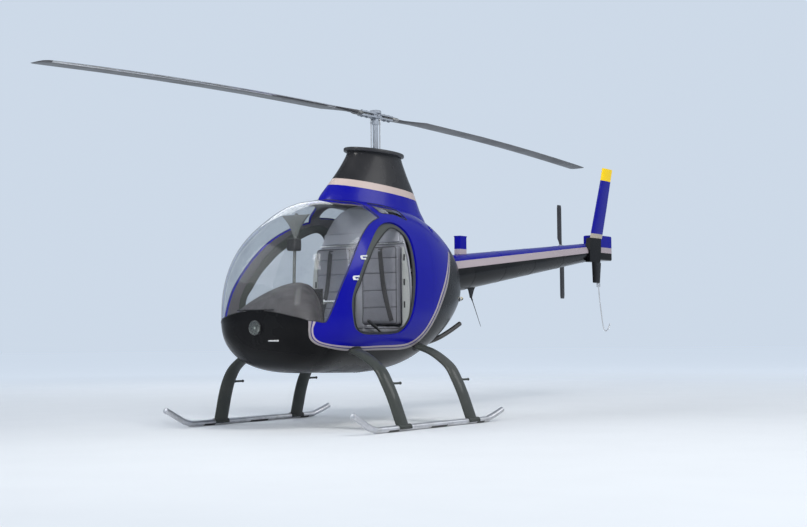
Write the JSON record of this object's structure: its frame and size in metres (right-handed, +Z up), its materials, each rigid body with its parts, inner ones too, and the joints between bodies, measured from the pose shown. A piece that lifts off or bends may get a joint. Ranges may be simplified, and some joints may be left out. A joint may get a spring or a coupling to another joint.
{
  "type": "helicopter",
  "caption": "Light helicopter with its doors off: hollow seated cabin behind a curved windshield, main and tail rotors that turn freely, tail boom with fins, skid landing gear.",
  "frame": {"origin": "under the middle of the whole machine's length and width, at the height of the skids' undersides", "axes": "+Z up, -Y towards the nose, +X towards the port side"},
  "size_m": [1.9382, 8.415, 2.742],
  "materials": {
    "black_paint": "gloss",
    "blue_paint": "gloss",
    "yellow_paint": "gloss",
    "charcoal_paint": "satin",
    "clear_window": "clear",
    "cabin_trim": "matte",
    "seat_cover": "matte",
    "console_cover": "matte",
    "dark_metal": "satin",
    "leg_paint": "satin",
    "bare_metal": "brushed",
    "white_plastic": "gloss",
    "lamp_lens": "clear",
    "blade_paint": "satin"
  },
  "bodies": {
    "airframe": {"nose_belly_shell": "black_paint", "cowl_lower": "black_paint", "lower_fin": "black_paint", "fin_plate": "black_paint", "cabin_frame": "blue_paint", "cowl_upper": "blue_paint", "mast_fairing": "blue_paint", "tail_boom": "blue_paint", "boom_top_housing": "blue_paint", "tail_end_housing": "blue_paint", "upper_fin": "blue_paint", "stabilizer": "blue_paint", "upper_fin_tip": "yellow_paint", "mast_fairing_cap": "charcoal_paint", "mast_base": "charcoal_paint", "whip_antenna": "charcoal_paint", "door_jamb_port": "charcoal_paint", "door_jamb_starboard": "charcoal_paint", "windshield": "clear_window", "roof_window_port": "clear_window", "roof_window_starboard": "clear_window", "cabin_floor": "cabin_trim", "seat_bulkhead": "cabin_trim", "seat_box_port": "cabin_trim", "seat_box_starboard": "cabin_trim", "compass_post": "cabin_trim", "cyclic_control": "cabin_trim", "collective_lever_port": "cabin_trim", "collective_lever_starboard": "cabin_trim", "seat_cushion_port": "seat_cover", "seat_cushion_starboard": "seat_cover", "seat_back_port": "seat_cover", "seat_back_starboard": "seat_cover", "instrument_console": "console_cover", "instrument_panel": "console_cover", "engine_block": "dark_metal", "cooling_fan": "dark_metal", "exhaust": "dark_metal", "tail_gearbox": "dark_metal", "front_leg_port": "leg_paint", "front_leg_starboard": "leg_paint", "rear_leg_port": "leg_paint", "rear_leg_starboard": "leg_paint", "skid_port": "bare_metal", "skid_starboard": "bare_metal", "tail_skid": "bare_metal", "tail_light": "white_plastic", "pitot_tube": "white_plastic", "landing_lamp": "lamp_lens"},
    "main_rotor": {"main_mast": "bare_metal", "pitch_control": "bare_metal", "rotor_hub": "bare_metal", "main_blade_1": "blade_paint", "main_blade_2": "blade_paint"},
    "tail_rotor": {"tail_rotor_hub": "bare_metal", "tail_blade_1": "blade_paint", "tail_blade_2": "blade_paint"}
  },
  "joints": [
    {"name": "main_rotor_spin", "type": "hinge", "parent": "airframe", "child": "main_rotor", "pos_m": [0, -0.3725, 2.69], "axis": [0, 0, 1], "continuous": true},
    {"name": "tail_rotor_spin", "type": "hinge", "parent": "airframe", "child": "tail_rotor", "pos_m": [-0.4, 3.8775, 1.69], "axis": [1, 0, 0], "continuous": true}
  ]
}
